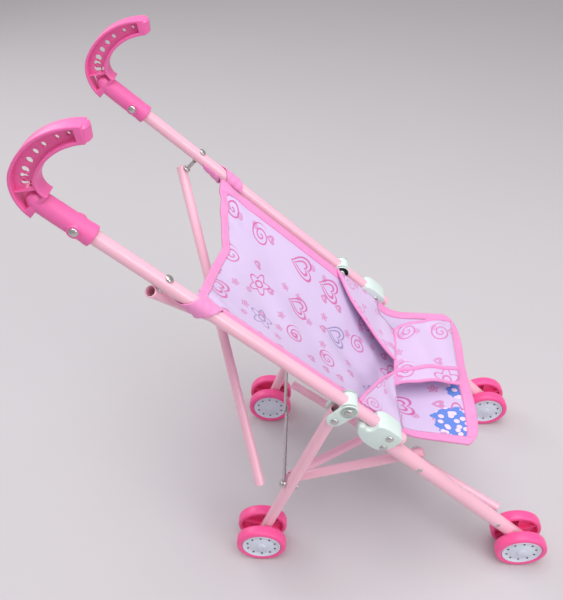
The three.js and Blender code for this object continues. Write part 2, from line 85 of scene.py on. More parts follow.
# %% Camera
VIEW_AZIMUTH = math.radians(-3.257)
VIEW_DOWN = math.radians(41.355)
VIEW_ROLL = math.radians(-1.782)
looking = Vector((
    math.sin(VIEW_AZIMUTH) * math.cos(VIEW_DOWN),
    math.cos(VIEW_AZIMUTH) * math.cos(VIEW_DOWN),
    -math.sin(VIEW_DOWN),
))
level_right = looking.cross(Vector((0, 0, 1))).normalized()
level_up = level_right.cross(looking)
camera_right = math.cos(VIEW_ROLL) * level_right + math.sin(VIEW_ROLL) * level_up
camera_up = -math.sin(VIEW_ROLL) * level_right + math.cos(VIEW_ROLL) * level_up
camera_data = bpy.data.cameras.new("camera")
camera_data.sensor_fit = "HORIZONTAL"
camera_data.sensor_width = 36
camera_data.lens = 41.25
camera = in_scene("camera", camera_data)
turn = Matrix((camera_right, camera_up, -looking)).transposed().to_4x4()
camera.matrix_world = Matrix.Translation((-0.03017, -0.47829, 0.71775)) @ turn
bpy.context.scene.camera = camera

# %% [markdown]
# A pale floor and soft light from wide lamps keep attention on the stroller. The wide lamp
# overhead gives the soft highlight along each tube.

# %% Floor and lights
def shine(name, place, aim, size, watts):
    """A square area lamp at a place, turned towards a point."""
    data = bpy.data.lights.new(name, "AREA")
    data.size = size
    data.energy = watts
    lamp = in_scene(name, data)
    lamp.location = place
    lamp.rotation_euler = (Vector(aim) - Vector(place)).to_track_quat("-Z", "Y").to_euler()
    return lamp


shine("lamp_overhead", (0.1, -0.2, 1.9), (0, 0, 0.2), 1.6, 26)
shine("lamp_front", (1.5, -1.3, 1.1), (0, 0, 0.2), 1.0, 12)
shine("lamp_behind", (-1.4, 1.0, 1.2), (0, 0, 0.3), 1.0, 9)
world = bpy.data.worlds.new("studio")
world.use_nodes = True
world.node_tree.nodes["Background"].inputs["Color"].default_value = (0.86, 0.85, 0.87, 1)
world.node_tree.nodes["Background"].inputs["Strength"].default_value = 0.55
bpy.context.scene.world = world
bpy.context.scene.view_settings.view_transform = "Standard"

# %% [markdown]
# Shader trees are easier to read when each node takes one line. This helper makes a node, sets
# its choices and links or fills its inputs.

# %% Node helpers
def put(tree, kind, inputs=None, **choices):
    """Adds a node; an input given as a socket is linked, anything else is a fixed value."""
    made = tree.nodes.new(kind)
    for key, value in choices.items():
        setattr(made, key, value)
    for key, value in (inputs or {}).items():
        if isinstance(value, bpy.types.NodeSocket):
            tree.links.new(value, made.inputs[key])
        else:
            made.inputs[key].default_value = value
    return made


def calc(tree, operation, first, second=0.0):
    """One Math node, as its output socket."""
    return put(tree, "ShaderNodeMath", {0: first, 1: second}, operation=operation).outputs[0]


def linear(hex_colour):
    """A colour written as six hex digits, in the renderer's linear light."""
    parts = [int(hex_colour[i:i + 2], 16) / 255 for i in (0, 2, 4)]
    return tuple(c / 12.92 if c <= 0.04045 else ((c + 0.055) / 1.055) ** 2.4 for c in parts) + (1,)


def mix(tree, share, first, second):
    """A colour mix, as its output socket."""
    made = put(tree, "ShaderNodeMix", {0: share}, data_type="RGBA")
    for index, value in ((6, first), (7, second)):
        if isinstance(value, bpy.types.NodeSocket):
            tree.links.new(value, made.inputs[index])
        else:
            made.inputs[index].default_value = value
    return made.outputs[2]


def new_group(name, inputs, outputs):
    """An empty shader node group with its sockets: each is a name, a kind and a start value."""
    tree = bpy.data.node_groups.new(name, "ShaderNodeTree")
    for label, kind, start in inputs:
        socket = tree.interface.new_socket(label, in_out="INPUT", socket_type=kind)
        if start is not None:
            socket.default_value = start
    for label, kind in outputs:
        tree.interface.new_socket(label, in_out="OUTPUT", socket_type=kind)
    return tree, tree.nodes.new("NodeGroupInput"), tree.nodes.new("NodeGroupOutput")


FLOAT, COLOUR, VECTOR = "NodeSocketFloat", "NodeSocketColor", "NodeSocketVector"

# %% [markdown]
# Paint, moulded plastic and plated steel all show the same thing close up: slight patches of
# tone, and a faint unevenness in how they shine. One group, "surface_life", gives both, and each
# material sets how strong and how fine they are.

# %% Shared group: surface life
surface_life, given, result = new_group(
    "surface_life",
    [("Base", COLOUR, (1, 1, 1, 1)), ("Shade", COLOUR, (0, 0, 0, 1)), ("Scale", FLOAT, 60.0),
     ("Patches", FLOAT, 0.2), ("Roughness", FLOAT, 0.4), ("Spread", FLOAT, 0.1)],
    [("Color", COLOUR), ("Roughness", FLOAT), ("Height", FLOAT)],
)
where = put(surface_life, "ShaderNodeTexCoord").outputs["Object"]
broad = put(surface_life, "ShaderNodeTexNoise", {
    "Vector": where, "Scale": given.outputs["Scale"], "Detail": 4.0, "Roughness": 0.55})
fine_scale = calc(surface_life, "MULTIPLY", given.outputs["Scale"], 14.0)
fine = put(surface_life, "ShaderNodeTexNoise", {
    "Vector": where, "Scale": fine_scale, "Detail": 2.0})
share = calc(surface_life, "MULTIPLY", broad.outputs[0], given.outputs["Patches"])
surface_life.links.new(
    mix(surface_life, share, given.outputs["Base"], given.outputs["Shade"]), result.inputs["Color"])
wander = calc(surface_life, "SUBTRACT", broad.outputs[0], 0.5)
wander = calc(surface_life, "MULTIPLY", wander, given.outputs["Spread"])
surface_life.links.new(
    calc(surface_life, "ADD", wander, given.outputs["Roughness"]), result.inputs["Roughness"])
surface_life.links.new(fine.outputs[0], result.inputs["Height"])


def finish_of(name, base, shade, scale, patches, roughness, spread, bump=0.02, **fixed):
    """A material on surface_life. Fixed values go straight to the shader's own sockets."""
    made = bpy.data.materials.new(name)
    made.use_nodes = True
    tree = made.node_tree
    shader = tree.nodes["Principled BSDF"]
    life = put(tree, "ShaderNodeGroup", node_tree=surface_life)
    for label, value in (("Base", linear(base)), ("Shade", linear(shade)), ("Scale", scale),
                         ("Patches", patches), ("Roughness", roughness), ("Spread", spread)):
        life.inputs[label].default_value = value
    tree.links.new(life.outputs["Color"], shader.inputs["Base Color"])
    tree.links.new(life.outputs["Roughness"], shader.inputs["Roughness"])
    grain = put(tree, "ShaderNodeBump", {
        "Height": life.outputs["Height"], "Strength": bump, "Distance": 0.001})
    tree.links.new(grain.outputs[0], shader.inputs["Normal"])
    for label, value in fixed.items():
        shader.inputs[label.replace("_", " ")].default_value = value
    made.diffuse_color = linear(base)
    return made


PAINT = finish_of("pink_paint", "f5bfd0", "e79cb6", 22, 0.35, 0.3, 0.16, 0.03, Coat_Weight=0.35)
HANDLE = finish_of("handle_plastic", "f36fb0", "d84f97", 30, 0.4, 0.38, 0.12, 0.05)
WHEEL = finish_of("wheel_plastic", "ff5ba0", "e83f86", 40, 0.35, 0.36, 0.14, 0.05)
BRACKET = finish_of("bracket_plastic", "dbe9e4", "bfd3cc", 35, 0.4, 0.42, 0.12, 0.05)
CAP = finish_of("cap_plastic", "dfe4f0", "bcc4da", 45, 0.45, 0.34, 0.14, 0.04)
STEEL = finish_of("plated_steel", "d2d0ce", "a7a4a2", 90, 0.5, 0.28, 0.2, 0.08, Metallic=1.0)
DOT = finish_of("dark_dot", "3b3a44", "24232c", 60, 0.4, 0.5, 0.1)
TAPE = finish_of("binding_tape", "f29acf", "e374b6", 120, 0.5, 0.55, 0.12, 0.35, Sheen_Weight=0.15)
THREAD = finish_of("thread", "f7b6dc", "e794c8", 300, 0.5, 0.6, 0.1, 0.3)
FLOOR = finish_of("pale_floor", "c9c5c8", "bdb8bc", 3, 0.3, 0.75, 0.05, 0.02)

# %% [markdown]
# The floor is one large plane a hair under the wheels.

# %% The floor
def mesh_piece(name, points, faces, material, smooth=True, sharp=35):
    """A mesh object at the origin, with its place in its mesh and corners kept crisp."""
    mesh = bpy.data.meshes.new(name)
    mesh.from_pydata([tuple(p) for p in points], [], [tuple(f) for f in faces])
    mesh.materials.append(material)
    made = in_scene(name, mesh)
    if smooth:
        mesh.polygons.foreach_set("use_smooth", [True] * len(mesh.polygons))
        mesh.set_sharp_from_angle(angle=math.radians(sharp))
    return made


reach = 6.0
floor = mesh_piece(
    "floor", [(-reach, -reach, 0), (reach, -reach, 0), (reach, reach, 0), (-reach, reach, 0)],
    [(0, 1, 2, 3)], FLOOR, smooth=False)

# %% [markdown]
# Every round piece of the stroller is a turned shape: tubes, wheels, caps. "Turn" takes a profile
# of radius and distance pairs and spins it round the line between two points, as a lathe would.

# %% Turned shapes
def turn_shape(name, start, end, profile, material, around=40, closed=False, sharp=35):
    """A profile spun round the axis from start towards end. A closed profile makes a pipe."""
    axis = (Vector(end) - Vector(start)).normalized()
    side = axis.orthogonal().normalized()
    other = axis.cross(side)
    points, rings = [], []
    for radius, along in profile:
        centre = Vector(start) + axis * along
        if radius < 1e-7:
            rings.append([len(points)] * around)
            points.append(centre)
            continue
        rings.append(list(range(len(points), len(points) + around)))
        for step in range(around):
            angle = 2 * math.pi * step / around
            points.append(centre + radius * (math.cos(angle) * side + math.sin(angle) * other))
    faces = []
    count = len(profile) if closed else len(profile) - 1
    for index in range(count):
        low, high = rings[index], rings[(index + 1) % len(profile)]
        for step in range(around):
            after = (step + 1) % around
            corners = []
            for corner in (low[step], low[after], high[after], high[step]):
                if corner not in corners:
                    corners.append(corner)
            if len(corners) > 2:
                faces.append(corners)
    made = mesh_piece(name, points, faces, material, sharp=sharp)
    face_outwards(made)
    return made


def face_outwards(made):
    """Merges doubled points and turns every face of a closed mesh outwards."""
    work = bmesh.new()
    work.from_mesh(made.data)
    bmesh.ops.remove_doubles(work, verts=work.verts, dist=1e-6)
    bmesh.ops.recalc_face_normals(work, faces=work.faces)
    work.to_mesh(made.data)
    work.free()


def join(pieces, name):
    """Several mesh objects at the origin made into one, which keeps all their materials."""
    work = bmesh.new()
    materials = []
    for made in pieces:
        start = len(work.faces)
        work.from_mesh(made.data)
        work.faces.ensure_lookup_table()
        for face in work.faces[start:]:
            material = made.data.materials[min(face.material_index, len(made.data.materials) - 1)]
            if material not in materials:
                materials.append(material)
            face.material_index = materials.index(material)
    mesh = bpy.data.meshes.new(name)
    work.to_mesh(mesh)
    work.free()
    for material in materials:
        mesh.materials.append(material)
    for made in pieces:
        bpy.data.objects.remove(made, do_unlink=True)
    whole = in_scene(name, mesh)
    return whole


def hand_over(made, body, slot, *nodes):
    """Gives a finished piece its body and hides the nodes it stands for. The slot is not used."""
    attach(made, body)
    if nodes:
        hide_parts(*nodes)
    return made


# %% [markdown]
# The solver's tubes have few flat sides, so each is made again with a round outside, a rolled
# end and an open bore. Its centre line is measured on the node: the longest direction of its
# points, and the middle of the points at each end.

# %% Tubes
BODY_OF = {node: body for body, nodes in frame["record"]["behaviour"]["bodies"].items()
           for node in nodes}
SIDES = (("right", -1), ("left", 1))


def centre_line(node):
    """The two end centres of a straight node, first the one with greater X, and its radius."""
    points = np.array([vertex.co for vertex in frame["nodes"][node].data.vertices])
    middle = points.mean(0)
    axis = np.linalg.svd(points - middle, full_matrices=False)[2][0]
    if axis[0] < 0:
        axis = -axis
    along = (points - middle) @ axis
    ends = [points[along < along.min() + 1e-4].mean(0), points[along > along.max() - 1e-4].mean(0)]
    off = points - middle - np.outer(along, axis)
    return Vector(ends[1]), Vector(ends[0]), float(np.linalg.norm(off, axis=1).max())


def round_tube(node, wall=0.001):
    """A smooth pipe in place of a faceted one, with a rolled lip at both ends."""
    front, back, radius = centre_line(node)
    length = (front - back).length
    lip = 0.0005
    bore = radius - wall
    profile = [
        (bore, 0), (radius - lip, 0), (radius, lip), (radius, length - lip),
        (radius - lip, length), (bore, length),
    ]
    made = turn_shape(f"{node}_tube", back, front, profile, PAINT, closed=True)
    return hand_over(made, BODY_OF[node], "painted_tube", node)


tube_nodes = [f"{kind}_{side}" for kind in (
    "push_tube", "front_leg", "rear_leg", "side_stay", "back_cross", "under_cross")
    for side, _ in SIDES]
for node in tube_nodes:
    round_tube(node)
print("tubes", len(tube_nodes))

# %% [markdown]
# Three measures of the side frame place all the rest: where the push tube enters its handle,
# which way it runs, and the direction square to it, down and back.

# %% The push tube's own measures
HALF_TRACK = 0.0994
PUSH_IN_HANDLE = 0.032
tube_front, tube_back, TUBE_RADIUS = centre_line("push_tube_right")
push_way = (tube_front - tube_back).normalized()
push_way.y = 0
push_under = Vector((push_way.z, 0, -push_way.x))
mouth = (tube_back + push_way * PUSH_IN_HANDLE) * 1.0
mouth.y = 0


def on_push(along, under=0.0, y=0.0):
    """A point measured along the push tube from its handle's mouth, and under its axis."""
    return mouth + push_way * along + push_under * under + Vector((0, y, 0))


print("push tube mouth", [round(value, 4) for value in mouth])

# %% [markdown]
# Rivets and bolts repeat all over the frame, so Geometry Nodes set them: a point for each head,
# with the way it faces, gets a round head on a short shank. The tree's inputs are the head's
# radius, its height and the shank's radius. Each body gets one mesh of its own rivets.

# %% Geometry Nodes: rivet heads
def geometry_tree(name, inputs):
    """An empty Geometry Nodes tree with a mesh input and output and named float inputs."""
    tree = bpy.data.node_groups.new(name, "GeometryNodeTree")
    tree.interface.new_socket("Geometry", in_out="INPUT", socket_type="NodeSocketGeometry")
    for label, start in inputs:
        socket = tree.interface.new_socket(label, in_out="INPUT", socket_type=FLOAT)
        socket.default_value = start
    tree.interface.new_socket("Geometry", in_out="OUTPUT", socket_type="NodeSocketGeometry")
    return tree, tree.nodes.new("NodeGroupInput"), tree.nodes.new("NodeGroupOutput")


def set_points(name, places, ways, lengths=None):
    """A mesh of loose points that carries each one's way and length as attributes."""
    mesh = bpy.data.meshes.new(name)
    mesh.from_pydata([tuple(place) for place in places], [], [])
    facing = mesh.attributes.new("way", "FLOAT_VECTOR", "POINT")
    facing.data.foreach_set("vector", [value for way in ways for value in way])
    long = mesh.attributes.new("length", "FLOAT", "POINT")
    long.data.foreach_set("value", list(lengths or [1.0] * len(places)))
    made = in_scene(name, mesh)
    return made


def grow(made, tree, **sizes):
    """Runs a Geometry Nodes tree on an object and returns the plain mesh object it makes."""
    modifier = made.modifiers.new("grow", "NODES")
    modifier.node_group = tree
    for item in tree.interface.items_tree:
        if item.in_out == "INPUT" and item.name.replace(" ", "_") in sizes:
            modifier[item.identifier] = sizes[item.name.replace(" ", "_")]
    mesh = settled_mesh(made)
    name = made.name
    bpy.data.objects.remove(made, do_unlink=True)
    plain = in_scene(name, mesh)
    mesh.set_sharp_from_angle(angle=math.radians(40))
    return plain


rivet_tree, given, result = geometry_tree("rivets", [
    ("Head radius", 0.0037), ("Head height", 0.0017), ("Shank radius", 0.0021)])
way = put(rivet_tree, "GeometryNodeInputNamedAttribute", {"Name": "way"},
          data_type="FLOAT_VECTOR").outputs["Attribute"]
length = put(rivet_tree, "GeometryNodeInputNamedAttribute", {"Name": "length"},
             data_type="FLOAT").outputs["Attribute"]
facing = put(rivet_tree, "FunctionNodeAlignRotationToVector", {"Vector": way}, axis="Z")
ball = put(rivet_tree, "GeometryNodeMeshUVSphere", {
    "Segments": 20, "Rings": 10, "Radius": 1.0}).outputs["Mesh"]
squat = put(rivet_tree, "ShaderNodeCombineXYZ", {
    0: given.outputs["Head radius"], 1: given.outputs["Head radius"],
    2: given.outputs["Head height"]}).outputs[0]
heads = put(rivet_tree, "GeometryNodeInstanceOnPoints", {
    "Points": given.outputs["Geometry"], "Instance": ball,
    "Rotation": facing.outputs[0], "Scale": squat}).outputs[0]
shank = put(rivet_tree, "GeometryNodeMeshCylinder", {
    "Vertices": 16, "Radius": given.outputs["Shank radius"], "Depth": 1.0}).outputs["Mesh"]
shank = put(rivet_tree, "GeometryNodeTransform", {
    "Geometry": shank, "Translation": (0, 0, -0.5)}).outputs[0]
stretch = put(rivet_tree, "ShaderNodeCombineXYZ", {0: 1.0, 1: 1.0, 2: length}).outputs[0]
shanks = put(rivet_tree, "GeometryNodeInstanceOnPoints", {
    "Points": given.outputs["Geometry"], "Instance": shank,
    "Rotation": facing.outputs[0], "Scale": stretch}).outputs[0]
both = put(rivet_tree, "GeometryNodeJoinGeometry")
rivet_tree.links.new(shanks, both.inputs[0])
rivet_tree.links.new(heads, both.inputs[0])
real = put(rivet_tree, "GeometryNodeRealizeInstances", {"Geometry": both.outputs[0]})
smooth = put(rivet_tree, "GeometryNodeSetShadeSmooth", {"Geometry": real.outputs[0]})
coated = put(rivet_tree, "GeometryNodeSetMaterial", {"Geometry": smooth.outputs[0],
                                                      "Material": STEEL})
rivet_tree.links.new(coated.outputs[0], result.inputs[0])

rivets_on = {}
for node, body in BODY_OF.items():
    if "rivet" in node or "bolt" in node:
        rivets_on.setdefault(body, []).append(node)
for body, nodes in rivets_on.items():
    places, ways, lengths = [], [], []
    for node in nodes:
        first, last, _ = centre_line(node)
        way = (first - last).normalized()
        half = (first - last).length / 2
        sunk = 0.0016  # a dome's height: its centre lies on the plate it clamps
        places += [first - way * sunk, last + way * sunk]
        ways += [way, -way]
        lengths += [half, half]
    made = grow(set_points(f"rivets_{body}", places, ways, lengths), rivet_tree,
                Head_radius=0.0038, Head_height=0.0019, Shank_radius=0.002)
    hand_over(made, body, "bright_steel", *nodes)
    print("rivets on", body, len(nodes))

# %% [markdown]
# A wheel is one moulding: a broad smooth tread with rounded shoulders, a recess on its outer
# face for the cap, and a hollow on the inner side crossed by spokes from a hub. The tread is
# turned. The spokes repeat round the hub, so Geometry Nodes set them at equal angles.

# %% Wheels
spoke_tree, given, result = geometry_tree("spokes", [
    ("Hub radius", 0.0055), ("Rim radius", 0.022), ("Depth", 0.005), ("Thickness", 0.0016),
    ("Count", 6.0)])
share = calc(spoke_tree, "ADD", given.outputs["Rim radius"], given.outputs["Hub radius"])
middle = calc(spoke_tree, "MULTIPLY", share, 0.5)
long = calc(spoke_tree, "SUBTRACT", given.outputs["Rim radius"], given.outputs["Hub radius"])
size = put(spoke_tree, "ShaderNodeCombineXYZ", {
    0: long, 1: given.outputs["Thickness"], 2: given.outputs["Depth"]}).outputs[0]
bar = put(spoke_tree, "GeometryNodeMeshCube", {"Size": size}).outputs["Mesh"]
out = put(spoke_tree, "ShaderNodeCombineXYZ", {0: middle}).outputs[0]
bar = put(spoke_tree, "GeometryNodeTransform", {"Geometry": bar, "Translation": out}).outputs[0]
row = put(spoke_tree, "GeometryNodeMeshLine", {
    "Count": given.outputs["Count"], "Offset": (0, 0, 0)}).outputs["Mesh"]
number = put(spoke_tree, "GeometryNodeInputIndex").outputs[0]
turn_each = calc(spoke_tree, "DIVIDE", calc(spoke_tree, "MULTIPLY", number, 2 * math.pi),
                 given.outputs["Count"])
spin = put(spoke_tree, "ShaderNodeCombineXYZ", {2: turn_each}).outputs[0]
spokes = put(spoke_tree, "GeometryNodeInstanceOnPoints", {
    "Points": row, "Instance": bar, "Rotation": spin}).outputs[0]
real = put(spoke_tree, "GeometryNodeRealizeInstances", {"Geometry": spokes})
coated = put(spoke_tree, "GeometryNodeSetMaterial", {"Geometry": real.outputs[0],
                                                      "Material": WHEEL})
spoke_tree.links.new(coated.outputs[0], result.inputs[0])

dot_tree, given, result = geometry_tree("cap_dots", [
    ("Ring radius", 0.0165), ("Dot radius", 0.0012), ("Depth", 0.0009), ("Count", 10.0)])
row = put(dot_tree, "GeometryNodeMeshLine", {
    "Count": given.outputs["Count"], "Offset": (0, 0, 0)}).outputs["Mesh"]
number = put(dot_tree, "GeometryNodeInputIndex").outputs[0]
turn_each = calc(dot_tree, "DIVIDE", calc(dot_tree, "MULTIPLY", number, 2 * math.pi),
                 given.outputs["Count"])
spin = put(dot_tree, "ShaderNodeCombineXYZ", {2: turn_each}).outputs[0]
disc = put(dot_tree, "GeometryNodeMeshCylinder", {
    "Vertices": 12, "Radius": given.outputs["Dot radius"],
    "Depth": given.outputs["Depth"]}).outputs["Mesh"]
out = put(dot_tree, "ShaderNodeCombineXYZ", {0: given.outputs["Ring radius"]}).outputs[0]
disc = put(dot_tree, "GeometryNodeTransform", {"Geometry": disc, "Translation": out}).outputs[0]
dots = put(dot_tree, "GeometryNodeInstanceOnPoints", {
    "Points": row, "Instance": disc, "Rotation": spin}).outputs[0]
real = put(dot_tree, "GeometryNodeRealizeInstances", {"Geometry": dots})
coated = put(dot_tree, "GeometryNodeSetMaterial", {"Geometry": real.outputs[0],
                                                    "Material": DOT})
dot_tree.links.new(coated.outputs[0], result.inputs[0])


def grown_ring(name, tree, hub, outward, along, **sizes):
    """A ring from a tree that works round its own Z, laid round the wheel's axle."""
    made = grow(set_points(name, [(0, 0, 0)], [(0, 0, 1)]), tree, **sizes)
    place = Matrix.Translation(hub + outward * along) @ outward.to_track_quat(
        "Z", "X").to_matrix().to_4x4()
    made.data.transform(place)
    return made


WHEEL_RADIUS = 0.028
CAP_RADIUS = 0.0215
for corner in ("front", "rear"):
    for side, sign in SIDES:
        for place, outward_sign in (("outer", sign), ("inner", -sign)):
            name = f"{corner}_{side}_{place}"
            low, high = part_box(f"wheel_{name}")
            hub = (low + high) / 2
            axle_y = sign * HALF_TRACK
            outward = Vector((0, outward_sign, 0))
            inner = min(abs(low.y - axle_y), abs(high.y - axle_y))
            outer = max(abs(low.y - axle_y), abs(high.y - axle_y))
            hub.y = axle_y
            rim = CAP_RADIUS + 0.0004
            profile = [
                (0.0024, inner), (0.0055, inner), (0.0055, inner + 0.005),
                (0.022, inner + 0.005), (0.0236, inner + 0.0003), (0.0262, inner),
                (0.0275, inner + 0.0007), (WHEEL_RADIUS, inner + 0.0024),
                (WHEEL_RADIUS, outer - 0.0026), (0.0274, outer - 0.0009), (0.0262, outer - 0.0001),
                (0.0235, outer), (0.0223, outer - 0.0004), (rim, outer - 0.001),
                (rim, outer - 0.0028), (0.0024, outer - 0.0028),
            ]
            tread = turn_shape("tread", hub, hub + outward, profile, WHEEL, around=72,
                               closed=True, sharp=50)
            ring = grown_ring("spokes", spoke_tree, hub, outward, inner + 0.003,
                              Hub_radius=0.005, Rim_radius=0.0232, Depth=0.0042, Count=6.0)
            wheel = join([tread, ring], f"wheel_{name}_moulding")
            hand_over(wheel, f"wheel_{name}", "wheel_plastic", f"wheel_{name}")
            face = outer - 0.0012
            dish = [
                (0, face - 0.0014), (CAP_RADIUS, face - 0.0014), (CAP_RADIUS, face + 0.0004),
                (CAP_RADIUS - 0.0008, face + 0.001), (CAP_RADIUS - 0.002, face + 0.0005),
                (0.0185, face - 0.0004), (0.0135, face - 0.0006), (0.0125, face),
                (0.0055, face + 0.0002), (0.005, face + 0.001), (0.003, face + 0.0013),
                (0, face + 0.0014),
            ]
            plate = turn_shape("dish", hub, hub + outward, dish, CAP, around=64, sharp=50)
            marks = grown_ring("marks", dot_tree, hub, outward, face - 0.0004,
                               Ring_radius=0.016, Dot_radius=0.0011, Depth=0.0008, Count=10.0)
            cap = join([plate, marks], f"cap_{name}_disc")
            hand_over(cap, f"wheel_{name}", "cap_plastic", f"cap_{name}")
for corner in ("front", "rear"):
    for side, _ in SIDES:
        node = f"axle_{corner}_{side}"
        frame["nodes"][node].data.materials.clear()
        frame["nodes"][node].data.materials.append(STEEL)
for side, _ in SIDES:
    node = f"spreader_link_{side}"
    frame["nodes"][node].data.materials.clear()
    frame["nodes"][node].data.materials.append(STEEL)
print("wheels 8, caps 8")

# %% [markdown]
# The handle is a hook of plastic with an I section: a broad rim on both edges and a thin web
# between them, pierced by holes that shrink towards the tip. Both are flat outlines with depth,
# so each is a filled two-dimensional curve with a small bevel. The hook's centre line is two
# bends, a tight one and a wide one.

# %% Flat shapes with a bevel
def flat_shape(name, loops, thickness, y, material, bevel=0.0007):
    """Outlines in the X-Z plane, the first outside and the others holes, as a bevelled plate."""
    curve = bpy.data.curves.new(name, "CURVE")
    curve.dimensions = "2D"
    curve.fill_mode = "BOTH"
    curve.extrude = thickness / 2 - bevel
    curve.bevel_depth = bevel
    curve.bevel_resolution = 2
    curve.offset = -bevel
    for loop in loops:
        spline = curve.splines.new("POLY")
        spline.points.add(len(loop) - 1)
        for point, (x, z) in zip(spline.points, loop):
            point.co = (x, z, 0, 1)
        spline.use_cyclic_u = True
    holder = in_scene(name, curve)
    mesh = settled_mesh(holder)
    bpy.data.objects.remove(holder, do_unlink=True)
    upright = Matrix(((1, 0, 0, 0), (0, 0, -1, y), (0, 1, 0, 0), (0, 0, 0, 1)))
    mesh.transform(upright)
    mesh.materials.clear()
    mesh.materials.append(material)
    made = in_scene(name, mesh)
    mesh.polygons.foreach_set("use_smooth", [True] * len(mesh.polygons))
    face_outwards(made)
    mesh.set_sharp_from_angle(angle=math.radians(32))
    return made


def circle(centre, radius, count=28, squash=1.0):
    """A round or squeezed outline round a point of the X-Z plane."""
    return [(centre[0] + radius * math.cos(2 * math.pi * step / count),
             centre[1] + radius * squash * math.sin(2 * math.pi * step / count))
            for step in range(count)]


# %% Handles
PUSH_ANGLE = math.degrees(math.atan2(-push_way.z, push_way.x))
HANDLE_SOCKET = 0.042
HANDLE_BENDS = ((0.022, 76), (0.055, 60))
HANDLE_DEPTHS = (0.024, 0.0126)
HANDLE_FLANGE = 0.0024
HANDLE_WIDTH = 0.015


def heading(degrees):
    return Vector((math.cos(math.radians(degrees)), 0, math.sin(math.radians(degrees))))


def hook_line(steps=20):
    """The hook's centre line as (place, outward) pairs, from the socket to the tip."""
    line = []
    direction = 180 - PUSH_ANGLE
    here = on_push(-HANDLE_SOCKET)
    for radius, sweep in HANDLE_BENDS:
        centre = here + heading(direction - 90) * radius
        for step in range(1 if line else 0, steps + 1):
            out = heading(direction - sweep * step / steps + 90)
            line.append((centre + out * radius, out))
        direction -= sweep
        here = line[-1][0]
    return line


HOOK = hook_line()


def hook_band(margin, first=0, last=None):
    """A closed outline along the hook, pulled in by a margin."""
    part = HOOK[first:last]
    count = len(HOOK) - 1
    outer, inner = [], []
    for index, (place, out) in enumerate(part):
        depth = HANDLE_DEPTHS[0] + (HANDLE_DEPTHS[1] - HANDLE_DEPTHS[0]) * (index + first) / count
        half = depth / 2 - margin
        outer.append(place + out * half)
        inner.append(place - out * half)
    return [(point.x, point.z) for point in outer + inner[::-1]]


def handle(side, sign):
    y = sign * HALF_TRACK
    last = len(HOOK)
    rim = flat_shape("rim", [hook_band(0), hook_band(HANDLE_FLANGE, 3, last - 2)],
                     HANDLE_WIDTH, y, HANDLE, bevel=0.0009)
    holes = []
    for hole in range(8):
        index = round(13 + hole * (len(HOOK) - 18) / 7)
        place = HOOK[index][0]
        radius = 0.0034 - 0.0021 * hole / 7
        holes.append(circle((place.x, place.z), radius))
    window = HOOK[6][0]
    across = HOOK[6][1]
    up = Vector((-across.z, 0, across.x))
    corners = [window + across * a + up * b for a, b in (
        (-0.0045, -0.0042), (0.0035, -0.0042), (0.005, 0.0042), (-0.003, 0.0042))]
    holes.append([(corner.x, corner.z) for corner in corners])
    web = flat_shape("web", [hook_band(0.001, 2, last - 1)] + holes, 0.003, y, HANDLE,
                     bevel=0.0004)
    out = HOOK[10][1]
    place = HOOK[10][0] + Vector((0, y, 0))
    rib_depth = HANDLE_DEPTHS[0] / 2 - 0.002
    rib = turn_shape("rib", place - out * rib_depth, place + out * rib_depth, [
        (0, 0), (0.0011, 0), (0.0011, 2 * rib_depth), (0, 2 * rib_depth)], HANDLE, around=12)
    for vertex in rib.data.vertices:
        vertex.co.y = y + (vertex.co.y - y) * 5.4
    tip = HOOK[-1][0]
    nose = turn_shape("nose", tip - Vector((0, 0, 0.0062)) + Vector((0, y, 0)),
                      tip + Vector((0, y, 0.0063)), [
        (0, 0), (0.0022, 0.0002), (0.0034, 0.0014), (0.0036, 0.0105), (0.0024, 0.0122),
        (0, 0.0125)], HANDLE, around=24)
    for vertex in nose.data.vertices:
        vertex.co.y = y + (vertex.co.y - y) * 1.9
    socket = turn_shape("socket", on_push(0, y=y), on_push(-0.05, y=y), [
        (0.0064, 0), (0.0084, 0), (0.0089, 0.0006), (0.0089, 0.004), (0.0086, 0.006),
        (0.0086, 0.03), (0.0083, 0.042), (0.0072, 0.0485), (0.0045, 0.052), (0, 0.053),
        (0, 0.036), (0.0064, 0.036)], HANDLE, around=48, closed=True)
    rivet_at = on_push(-0.014)
    boss = turn_shape("boss", (rivet_at.x, y - 0.0092, rivet_at.z),
                      (rivet_at.x, y + 0.0092, rivet_at.z), [
        (0, 0), (0.0052, 0), (0.0056, 0.0006), (0.0056, 0.0178), (0.0052, 0.0184),
        (0, 0.0184)], HANDLE, around=32)
    whole = join([rim, web, rib, nose, socket, boss], f"handle_{side}_moulding")
    hand_over(whole, BODY_OF[f"handle_{side}"], "handle_plastic", f"handle_{side}")


for side, sign in SIDES:
    handle(side, sign)
print("handles", len(HOOK), "places along each hook")

# %% [markdown]
# Two pale brackets sit on each side. The clip wraps the push tube and hangs the rear leg between
# two cheeks. The splice bracket holds the push tube's end over the front leg, and has a small
# ear for a thumb. Their outlines follow the tube's own direction, so they are drawn in measures
# along it and under it.

# %% Brackets
def along_outline(origin, outline):
    """Pairs (along, under) from a place on the push tube, as X-Z pairs."""
    made = [origin + push_way * s + push_under * n for s, n in outline]
    return [(point.x, point.z) for point in made]


def soften(outline, rounds=2):
    """Cuts each corner of an outline twice, which leaves a smooth one."""
    for _ in range(rounds):
        smoother = []
        for (ax, az), (bx, bz) in zip(outline, outline[1:] + outline[:1]):
            smoother.append((0.75 * ax + 0.25 * bx, 0.75 * az + 0.25 * bz))
            smoother.append((0.25 * ax + 0.75 * bx, 0.25 * az + 0.75 * bz))
        outline = smoother
    return outline


CLIP_AT = on_push(0.269)
SPLICE_AT = on_push(0.324)
LEG_PIVOT_UNDER = 0.018


